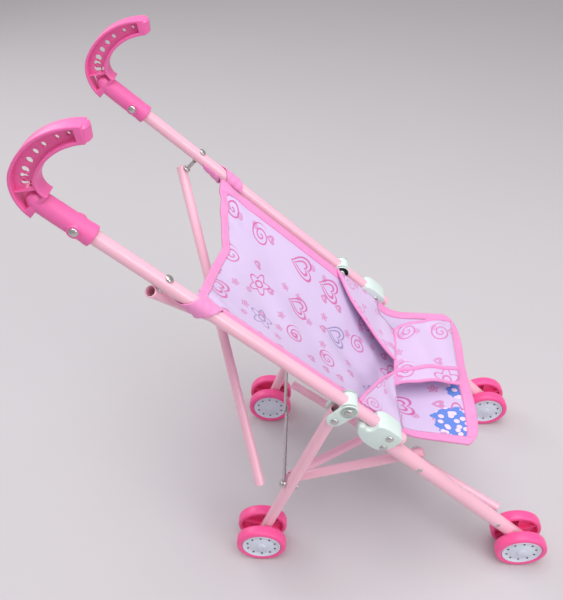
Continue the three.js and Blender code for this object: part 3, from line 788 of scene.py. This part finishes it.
def capsule(reach, lobe, under, steps=14):
    """The clip's outline: round over the tube and round under the leg's pivot."""
    top = [(reach * math.cos(math.pi + math.pi * k / steps),
            reach * math.sin(math.pi + math.pi * k / steps)) for k in range(steps + 1)]
    bottom = [(lobe * math.cos(math.pi * k / steps),
               under + lobe * math.sin(math.pi * k / steps)) for k in range(steps + 1)]
    return top + bottom


SPLICE = [
    (-0.020, -0.0088), (0.008, -0.0088), (0.012, -0.005), (0.013, 0.009), (0.008, 0.019),
    (0, 0.0215), (-0.012, 0.0215), (-0.024, 0.018), (-0.032, 0.012), (-0.0335, 0.007),
    (-0.029, 0.0042), (-0.024, 0.007), (-0.020, 0.003),
]
for side, sign in SIDES:
    y = sign * HALF_TRACK
    cheek = along_outline(CLIP_AT, capsule(0.0086, 0.0078, LEG_PIVOT_UNDER))
    saddle = along_outline(CLIP_AT, capsule(0.0086, 0.0086, 0.0005))
    cheeks = [flat_shape("cheek", [cheek], 0.0036, y + turned * 0.0082, BRACKET, bevel=0.0008)
              for turned in (-1, 1)]
    body = flat_shape("saddle", [saddle], 0.02, y, BRACKET, bevel=0.001)
    clip = join(cheeks + [body], f"leg_clip_{side}_moulding")
    hand_over(clip, BODY_OF[f"leg_clip_{side}"], "bracket_plastic", f"leg_clip_{side}")
    outline = soften(along_outline(SPLICE_AT, SPLICE))
    splice = flat_shape(f"splice_bracket_{side}_moulding", [outline], 0.02, y, BRACKET,
                        bevel=0.0012)
    hand_over(splice, BODY_OF[f"splice_bracket_{side}"], "bracket_plastic",
              f"splice_bracket_{side}")
print("brackets 4")

# %% [markdown]
# The seat is one length of vinyl-coated cloth, hung between the push tubes and carried forward
# as a flap for the doll's legs. It is printed with loose outline pictures: flowers, hearts and
# curls. A picture needs only a distance from its outline, so each is a few lines of maths
# in the cell of a Voronoi pattern, and the cell's own colour picks which one is drawn.

# %% Shared group: printed outlines
outline_print, given, result = new_group(
    "outline_print",
    [("UV", VECTOR, None), ("Scale", FLOAT, 22.0), ("Line", FLOAT, 0.02), ("Size", FLOAT, 1.0)],
    [("Mask", FLOAT), ("Pick", FLOAT)],
)


def cell_place(tree, uv, scale, randomness):
    """Each point's own X and Y measured from its cell's centre, and the cell's colour."""
    grown = put(tree, "ShaderNodeVectorMath", {0: uv, 3: scale}, operation="SCALE").outputs[0]
    cells = put(tree, "ShaderNodeTexVoronoi", {
        "Vector": grown, "Scale": 1.0, "Randomness": randomness}, voronoi_dimensions="2D")
    off = put(tree, "ShaderNodeVectorMath", {0: grown, 1: cells.outputs["Position"]},
              operation="SUBTRACT").outputs[0]
    parts = put(tree, "ShaderNodeSeparateXYZ", {0: off})
    hue = put(tree, "ShaderNodeSeparateColor", {0: cells.outputs["Color"]})
    return parts.outputs[0], parts.outputs[1], hue


tree = outline_print
line, size = given.outputs["Line"], given.outputs["Size"]


def do(operation, first, second=0.0):
    return calc(tree, operation, first, second)


def distance(across, up):
    return do("SQRT", do("ADD", do("MULTIPLY", across, across), do("MULTIPLY", up, up)))


def ring(value, reach):
    """One where a value is within a line's width of the reach, else none."""
    return do("LESS_THAN", do("ABSOLUTE", do("SUBTRACT", value, reach)), line)


x, y, hue = cell_place(tree, given.outputs["UV"], given.outputs["Scale"], 0.35)
x, y = do("DIVIDE", x, size), do("DIVIDE", y, size)
radius, angle = distance(x, y), do("ARCTAN2", y, x)

# a flower: a circle that five petals push outwards, with a small ring in its middle
petal = do("COSINE", do("MULTIPLY", angle, 5.0))
petal = do("ADD", do("MULTIPLY", petal, 0.06), 0.21)
flower = do("MAXIMUM", ring(radius, petal), ring(radius, 0.085))

# a heart: a circle whose height is bent by the root of the distance from its middle line
lobe = do("MULTIPLY", do("SQRT", do("ABSOLUTE", x)), 0.42)
heart = distance(x, do("ADD", do("SUBTRACT", y, lobe), 0.06))
heart = do("MAXIMUM", ring(heart, 0.24), ring(heart, 0.14))

# a curl: a line that moves out by one step with each turn
turn = do("DIVIDE", angle, 2 * math.pi)
coil = do("FRACT", do("SUBTRACT", do("MULTIPLY", radius, 9.0), turn))
curl = do("LESS_THAN", coil, do("MULTIPLY", line, 14.0))
curl = do("MULTIPLY", curl, do("LESS_THAN", radius, 0.24))

pick = hue.outputs[0]
is_flower = do("LESS_THAN", pick, 0.36)
is_heart = do("MULTIPLY", do("GREATER_THAN", pick, 0.36), do("LESS_THAN", pick, 0.62))
is_curl = do("GREATER_THAN", pick, 0.62)
mask = do("ADD", do("MULTIPLY", flower, is_flower), do("MULTIPLY", heart, is_heart))
mask = do("ADD", mask, do("MULTIPLY", curl, is_curl))
tree.links.new(do("MINIMUM", mask, 1.0), result.inputs["Mask"])
tree.links.new(hue.outputs[1], result.inputs["Pick"])
print("outline print:", len(tree.nodes), "nodes")

# %% [markdown]
# The cloth itself is a lilac white with a fine weave under its coating. Every cloth material
# reads the piece's own UV map, whose unit is a metre, so a picture is the same size on each
# piece. Two blue posies are printed near one front corner.

# %% Cloth materials
def cloth(name, base, ink, posies=(), roughness=0.42):
    """Printed vinyl cloth. A posy is a blue patch: its place on the UV map and its reach."""
    made = bpy.data.materials.new(name)
    made.use_nodes = True
    tree = made.node_tree
    shader = tree.nodes["Principled BSDF"]
    uv = put(tree, "ShaderNodeUVMap", uv_map="flat").outputs[0]
    cloudy = put(tree, "ShaderNodeTexNoise", {"Vector": uv, "Scale": 18.0, "Detail": 3.0})
    ground = mix(tree, cloudy.outputs[0], linear(base), linear("ccb4dc"))
    large = put(tree, "ShaderNodeGroup", {"UV": uv, "Scale": 19.0, "Line": 0.022},
                node_tree=outline_print)
    small = put(tree, "ShaderNodeGroup", {"UV": uv, "Scale": 47.0, "Line": 0.05, "Size": 0.8},
                node_tree=outline_print)
    fine_print = calc(tree, "MULTIPLY", small.outputs["Mask"],
                      calc(tree, "GREATER_THAN", small.outputs["Pick"], 0.42))
    colour = mix(tree, calc(tree, "MULTIPLY", fine_print, 0.62), ground, linear(ink))
    dark_ink = mix(tree, calc(tree, "GREATER_THAN", large.outputs["Pick"], 0.8),
                   linear(ink), linear("8f7fb4"))
    colour = mix(tree, calc(tree, "MULTIPLY", large.outputs["Mask"], 0.85), colour, dark_ink)
    for place, reach in posies:
        away = put(tree, "ShaderNodeVectorMath", {0: uv, 1: (*place, 0)}, operation="DISTANCE")
        ragged = put(tree, "ShaderNodeTexNoise", {"Vector": uv, "Scale": 120.0, "Detail": 2.0})
        edge = calc(tree, "ADD", away.outputs["Value"],
                    calc(tree, "MULTIPLY", ragged.outputs[0], 0.02))
        patch = calc(tree, "LESS_THAN", edge, reach + 0.01)
        bloom = put(tree, "ShaderNodeTexVoronoi", {
            "Vector": uv, "Scale": 130.0, "Randomness": 0.9}, voronoi_dimensions="2D")
        petals = mix(tree, calc(tree, "LESS_THAN", bloom.outputs["Distance"], 0.34),
                     linear("5f86da"), linear("f3d3ee"))
        colour = mix(tree, patch, colour, petals)
    tree.links.new(colour, shader.inputs["Base Color"])
    weave = put(tree, "ShaderNodeTexWave", {"Vector": uv, "Scale": 420.0})
    across = put(tree, "ShaderNodeTexWave", {"Vector": uv, "Scale": 420.0},
                 bands_direction="Y")
    woven = calc(tree, "ADD", weave.outputs["Fac"], across.outputs["Fac"])
    bump = put(tree, "ShaderNodeBump", {"Height": woven, "Strength": 0.12, "Distance": 0.0004})
    tree.links.new(bump.outputs[0], shader.inputs["Normal"])
    shine_map = calc(tree, "MULTIPLY", cloudy.outputs[0], 0.16)
    tree.links.new(calc(tree, "ADD", shine_map, roughness - 0.08), shader.inputs["Roughness"])
    shader.inputs["Sheen Weight"].default_value = 0.12
    return made


SLING_CLOTH = cloth("printed_vinyl", "d9c8e8", "cc5099",
                    posies=[((-0.064, 0.315), 0.019), ((-0.022, 0.321), 0.009)])
BAND_CLOTH = cloth("harness_vinyl", "dcc4e4", "d470b0")

# %% [markdown]
# The sling is a grid over two directions: across, from the right push tube to the left, and
# down, from its top edge to the flap's front. The top edge dips in the middle, the back sags
# between the tubes, and shallow folds run in from the corners, where the cloth is pulled.

# %% The sling
CLOTH_HALF = 0.0885
BACK_START, BACK_END = 0.096, 0.354
TOP_DIP = 0.027
SAG = 0.018
FLAP_FRONT = on_push(BACK_END) + Vector((0.073, 0, -0.0085))
FLAP_TWIST = 0.0045
ACROSS_STEPS, DOWN_STEPS = 72, 150
BACK_SHARE = 0.79
BEND = 0.045
BEND_STEPS = (-1, -0.6, -0.3, 0, 0.3, 0.6, 1)
CLOTH_LENGTH = 0.335
CLOTH_THICKNESS, TAPE_THICKNESS = 0.0008, 0.0026


def unbent_point(across, down):
    """A point of the cloth's middle plane, before the bend at the seat is eased."""
    sag = SAG * (1 - across * across)
    if down < BACK_SHARE:
        dip = 1 - abs(across - 0.2) / (0.8 if across > 0.2 else 1.2)
        top = BACK_START + TOP_DIP * max(dip, 0) ** 0.85
        return on_push(top + (BACK_END - top) * down / BACK_SHARE, 0.001 + sag)
    round_front = 0.012 * abs(across) ** 9
    higher = FLAP_TWIST * across - 0.004 * (1 - abs(across) ** 2.2)
    front = FLAP_FRONT + Vector((-round_front, 0, higher))
    return on_push(BACK_END, 0.001 + sag).lerp(front, (down - BACK_SHARE) / (1 - BACK_SHARE))


def sling_point(across, down, lift=0.0):
    """A point of the cloth: across runs from -1 to 1, down from 0 to 1, lift is off its face."""
    shifts = BEND_STEPS if abs(down - BACK_SHARE) <= 3 * BEND else (0,)
    places = [unbent_point(across, down + shift * BEND) for shift in shifts]
    place = sum(places, Vector((0, 0, 0))) / len(places)
    arch = 1 - abs(across) ** 2.2
    pull = math.sin(9 * down + 2.5 * across) * math.sin(5 * across + 3 * down)
    crease = 0.0011 * pull * arch + 0.0009 * math.sin(31 * down - 7 * abs(across)) * arch ** 2
    corner = math.exp(-((abs(across) - 0.9) ** 2 + (3 * down) ** 2) * 14)
    crease += 0.0016 * corner * math.sin(26 * (across + 2 * down))
    return place - push_under * (crease + lift) + Vector((0, across * CLOTH_HALF, 0))


def cloth_patch(name, across_range, down_range, steps, material, thick, lift=0.0):
    """Part of the sling's surface as a sheet with a UV map in metres, made thick by Solidify."""
    count_a, count_d = steps
    points, flat = [], []
    for row in range(count_d + 1):
        down = down_range[0] + (down_range[1] - down_range[0]) * row / count_d
        for column in range(count_a + 1):
            across = across_range[0] + (across_range[1] - across_range[0]) * column / count_a
            points.append(sling_point(across, down, lift))
            flat.append((across * CLOTH_HALF, down * CLOTH_LENGTH))
    return thick_sheet(name, points, flat, count_a, count_d, material, thick)


def thick_sheet(name, points, flat, count_a, count_d, material, thick):
    """A grid of points as a smooth cloth sheet of that thickness."""
    width = count_a + 1
    faces = [(row * width + column, row * width + column + 1,
              (row + 1) * width + column + 1, (row + 1) * width + column)
             for row in range(count_d) for column in range(count_a)]
    made = mesh_piece(name, points, faces, material, sharp=60)
    layer = made.data.uv_layers.new(name="flat")
    for loop in made.data.loops:
        layer.data[loop.index].uv = flat[loop.vertex_index]
    wall = made.modifiers.new("thickness", "SOLIDIFY")
    wall.thickness = thick
    wall.offset = 0
    wall.use_even_offset = True
    mesh = settled_mesh(made)
    made.modifiers.clear()
    made.data = mesh
    return made


def sheet_measure(points, count_a, count_d):
    """The flat width, length and area of a grid of points, in metres."""
    grid = np.array([tuple(point) for point in points]).reshape(count_d + 1, count_a + 1, 3)
    wide = np.linalg.norm(np.diff(grid, axis=1), axis=2).sum(1).max()
    long = np.linalg.norm(np.diff(grid, axis=0), axis=2).sum(0).max()
    a, b = grid[1:, 1:] - grid[:-1, :-1], grid[1:, :-1] - grid[:-1, 1:]
    area = 0.5 * np.linalg.norm(np.cross(a, b), axis=2).sum()
    return float(wide), float(long), float(min(area, wide * long))


def gather(made, slot, *nodes):
    """A cloth piece rides on the right side frame, with a mesh of its own."""
    hand_over(made, "right_frame", slot, *nodes)
    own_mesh(made)
    return made


sling = cloth_patch("sling_cloth", (-1, 1), (0, 1), (ACROSS_STEPS, DOWN_STEPS), SLING_CLOTH,
                    CLOTH_THICKNESS)
grid = [sling_point(-1 + 2 * c / ACROSS_STEPS, r / DOWN_STEPS)
        for r in range(DOWN_STEPS + 1) for c in range(ACROSS_STEPS + 1)]
gather(sling, "sling_cloth", "seat_sling")

# %% [markdown]
# Pink tape is folded over every edge and sewn down. Each strip repeats the sling's own surface
# near one edge, a little thicker, so the cloth runs inside it.

# %% Binding tape and stitches
TAPE_SHARE = 0.085
strips = [
    ("binding_right", (-1.012, -1 + TAPE_SHARE), (-0.004, 1.004), (6, 140)),
    ("binding_left", (1 - TAPE_SHARE, 1.012), (-0.004, 1.004), (6, 140)),
    ("binding_top", (-1, 1), (-0.006, 0.021), (72, 6)),
    ("binding_front", (-1, 1), (0.974, 1.005), (72, 6)),
]
for name, across_range, down_range, steps in strips:
    strip = cloth_patch(name, across_range, down_range, steps, TAPE, TAPE_THICKNESS)
    gather(strip, "harness_webbing")

stitch_tree, given, result = geometry_tree("stitches", [
    ("Spacing", 0.0034), ("Stitch length", 0.0022), ("Thread radius", 0.00032)])
run = put(stitch_tree, "GeometryNodeMeshToCurve", {"Mesh": given.outputs["Geometry"]})
evenly = put(stitch_tree, "GeometryNodeResampleCurve", {
    "Curve": run.outputs[0], "Length": given.outputs["Spacing"]}, mode="LENGTH")
tangent = put(stitch_tree, "GeometryNodeInputTangent").outputs[0]
facing = put(stitch_tree, "FunctionNodeAlignRotationToVector", {"Vector": tangent}, axis="Z")
thread = put(stitch_tree, "GeometryNodeMeshCylinder", {
    "Vertices": 6, "Radius": given.outputs["Thread radius"],
    "Depth": given.outputs["Stitch length"]}).outputs["Mesh"]
laid = put(stitch_tree, "GeometryNodeInstanceOnPoints", {
    "Points": evenly.outputs[0], "Instance": thread, "Rotation": facing.outputs[0]})
real = put(stitch_tree, "GeometryNodeRealizeInstances", {"Geometry": laid.outputs[0]})
coated = put(stitch_tree, "GeometryNodeSetMaterial", {"Geometry": real.outputs[0],
                                                       "Material": THREAD})
stitch_tree.links.new(coated.outputs[0], result.inputs[0])


def stitch_row(name, points):
    """A row of stitches along a line of points, as plain mesh."""
    mesh = bpy.data.meshes.new(name)
    mesh.from_pydata([tuple(point) for point in points],
                     [(i, i + 1) for i in range(len(points) - 1)], [])
    made = in_scene(name, mesh)
    return grow(made, stitch_tree, Spacing=0.0036, Stitch_length=0.0023,
                Thread_radius=0.00032)


SEAM = 1 - TAPE_SHARE * 0.75
rows = []
for sign in (-1, 1):
    rows.append(stitch_row("seam", [sling_point(sign * SEAM, k / 120, 0.0015)
                                    for k in range(121)]))
for down in (0.017, 0.979):
    rows.append(stitch_row("seam", [sling_point(-0.9 + 1.8 * k / 80, down, 0.0015)
                                    for k in range(81)]))
seams = gather(join(rows, "sling_stitches"), "harness_webbing")

# %% [markdown]
# At each top corner the tape goes round the push tube as a loop, just below the upper bolt. It
# is a short sleeve, slack enough to bulge and twist a little.

# %% Loops round the push tubes
def tube_loop(side, sign):
    """A strap wound once round a push tube, hanging a little slack under it."""
    points, flat = [], []
    around, steps = 48, 16
    for step in range(steps + 1):
        share = step / steps
        for turn in range(around + 1):
            wound = turn / around
            angle = 2 * math.pi * wound
            along = 0.071 + 0.03 * wound + 0.02 * share
            hanging = max(0.0, math.sin(angle)) ** 2
            slack = 0.0006 + 0.0006 * wound + 0.003 * hanging * share
            slack += 0.0005 * math.sin(3 * angle + 8 * share) ** 2
            radius = TUBE_RADIUS + slack
            points.append(on_push(along, math.sin(angle) * radius,
                                  sign * (HALF_TRACK - math.cos(angle) * radius)))
            flat.append((wound * 0.045, share * 0.02))
    made = thick_sheet(f"loop_{side}", points, flat, around, steps, TAPE, 0.0009)
    face_outwards(made)
    hand_over(made, f"{side}_frame", "harness_webbing")


for side, sign in SIDES:
    tube_loop(side, sign)
print("loops", TUBE_RADIUS)

# %% [markdown]
# The harness is cut from the same cloth. A band comes in from each side and meets a wide tab in
# the middle, and the tab runs forward over the flap, leaving a leg opening on each side. Each
# band is a patch between two edges, bulged towards the doll.

# %% The harness
def band(name, near_edge, far_edge, bulge, steps):
    """A patch from one edge to another, with a bulge at its middle. An edge is two points."""
    count_a, count_d = steps
    points, flat = [], []
    for row in range(count_d + 1):
        v = row / count_d
        left, right = near_edge[0].lerp(far_edge[0], v), near_edge[1].lerp(far_edge[1], v)
        for column in range(count_a + 1):
            u = column / count_a
            here = left.lerp(right, u) + bulge * math.sin(math.pi * v) ** 0.8
            here += Vector((0, 0, 0.0009)) * math.sin(13 * v + 5 * u)
            points.append(here)
            flat.append((u * (near_edge[0] - near_edge[1]).length,
                         v * (near_edge[0] - far_edge[0]).length))
    return thick_sheet(name, points, flat, count_a, count_d, BAND_CLOTH, 0.0009), points


def edge_tape(name, line, radius=0.0017):
    """Tape folded over an edge, as a round cord along a line of points."""
    curve = bpy.data.curves.new(name, "CURVE")
    curve.dimensions = "3D"
    curve.bevel_depth = radius
    curve.bevel_resolution = 3
    curve.use_fill_caps = True
    spline = curve.splines.new("POLY")
    spline.points.add(len(line) - 1)
    for point, place in zip(spline.points, line):
        point.co = (*place, 1)
    holder = in_scene(name, curve)
    mesh = settled_mesh(holder)
    bpy.data.objects.remove(holder, do_unlink=True)
    mesh.materials.clear()
    mesh.materials.append(TAPE)
    mesh.polygons.foreach_set("use_smooth", [True] * len(mesh.polygons))
    made = in_scene(name, mesh)
    return made


def line_of(points, steps, row=None, column=None):
    """One row or column of a patch's grid of points."""
    count_a, count_d = steps
    if row is not None:
        return points[row * (count_a + 1):(row + 1) * (count_a + 1)]
    return points[column::count_a + 1]


UP = Vector((0, 0, 1))
tab_steps = (20, 30)
tab, tab_points = band(
    "harness_tab", (Vector((0.060, -0.029, 0.206)), Vector((0.0675, 0.053, 0.207))),
    (Vector((0.1285, -0.021, 0.1985)), Vector((0.1345, 0.076, 0.1985))),
    Vector((0, 0, 0.006)), tab_steps)
band_steps = (10, 30)
right_band, right_points = band(
    "harness_band_right",
    (on_push(0.284, -0.001, -CLOTH_HALF), on_push(0.348, 0.0, -CLOTH_HALF)),
    (tab_points[0].lerp(tab_points[20], 0.2) + UP * 0.001, tab_points[0] - UP * 0.001),
    Vector((-0.002, 0, 0.004)), band_steps)
left_band, left_points = band(
    "harness_band_left",
    (on_push(0.262, -0.001, CLOTH_HALF), on_push(0.330, -0.001, CLOTH_HALF)),
    (tab_points[8] + UP * 0.001, tab_points[20] - UP * 0.001),
    Vector((-0.007, 0, 0.002)), band_steps)
tapes = [
    edge_tape("t", line_of(tab_points, tab_steps, column=0)),
    edge_tape("t", line_of(tab_points, tab_steps, column=tab_steps[0])),
    edge_tape("t", line_of(tab_points, tab_steps, row=0)),
]
for points in (right_points, left_points):
    tapes.append(edge_tape("t", line_of(points, band_steps, column=0)))
tape_line = [point + UP * 0.0008 for point in line_of(tab_points, tab_steps, column=4)]
tapes.append(edge_tape("t", tape_line, 0.0022))
harness_tape = gather(join(tapes, "harness_tape"), "harness_webbing")
gather(tab, "harness_webbing", "harness")
gather(right_band, "harness_webbing")
gather(left_band, "harness_webbing")
for made, points, steps, extra in (
        (tab, tab_points, tab_steps, [harness_tape]),
        (right_band, right_points, band_steps, []),
        (left_band, left_points, band_steps, [])):
    wide, long, area = sheet_measure(points, *steps)
    print(made.name, "flat", round(wide, 4), round(long, 4))
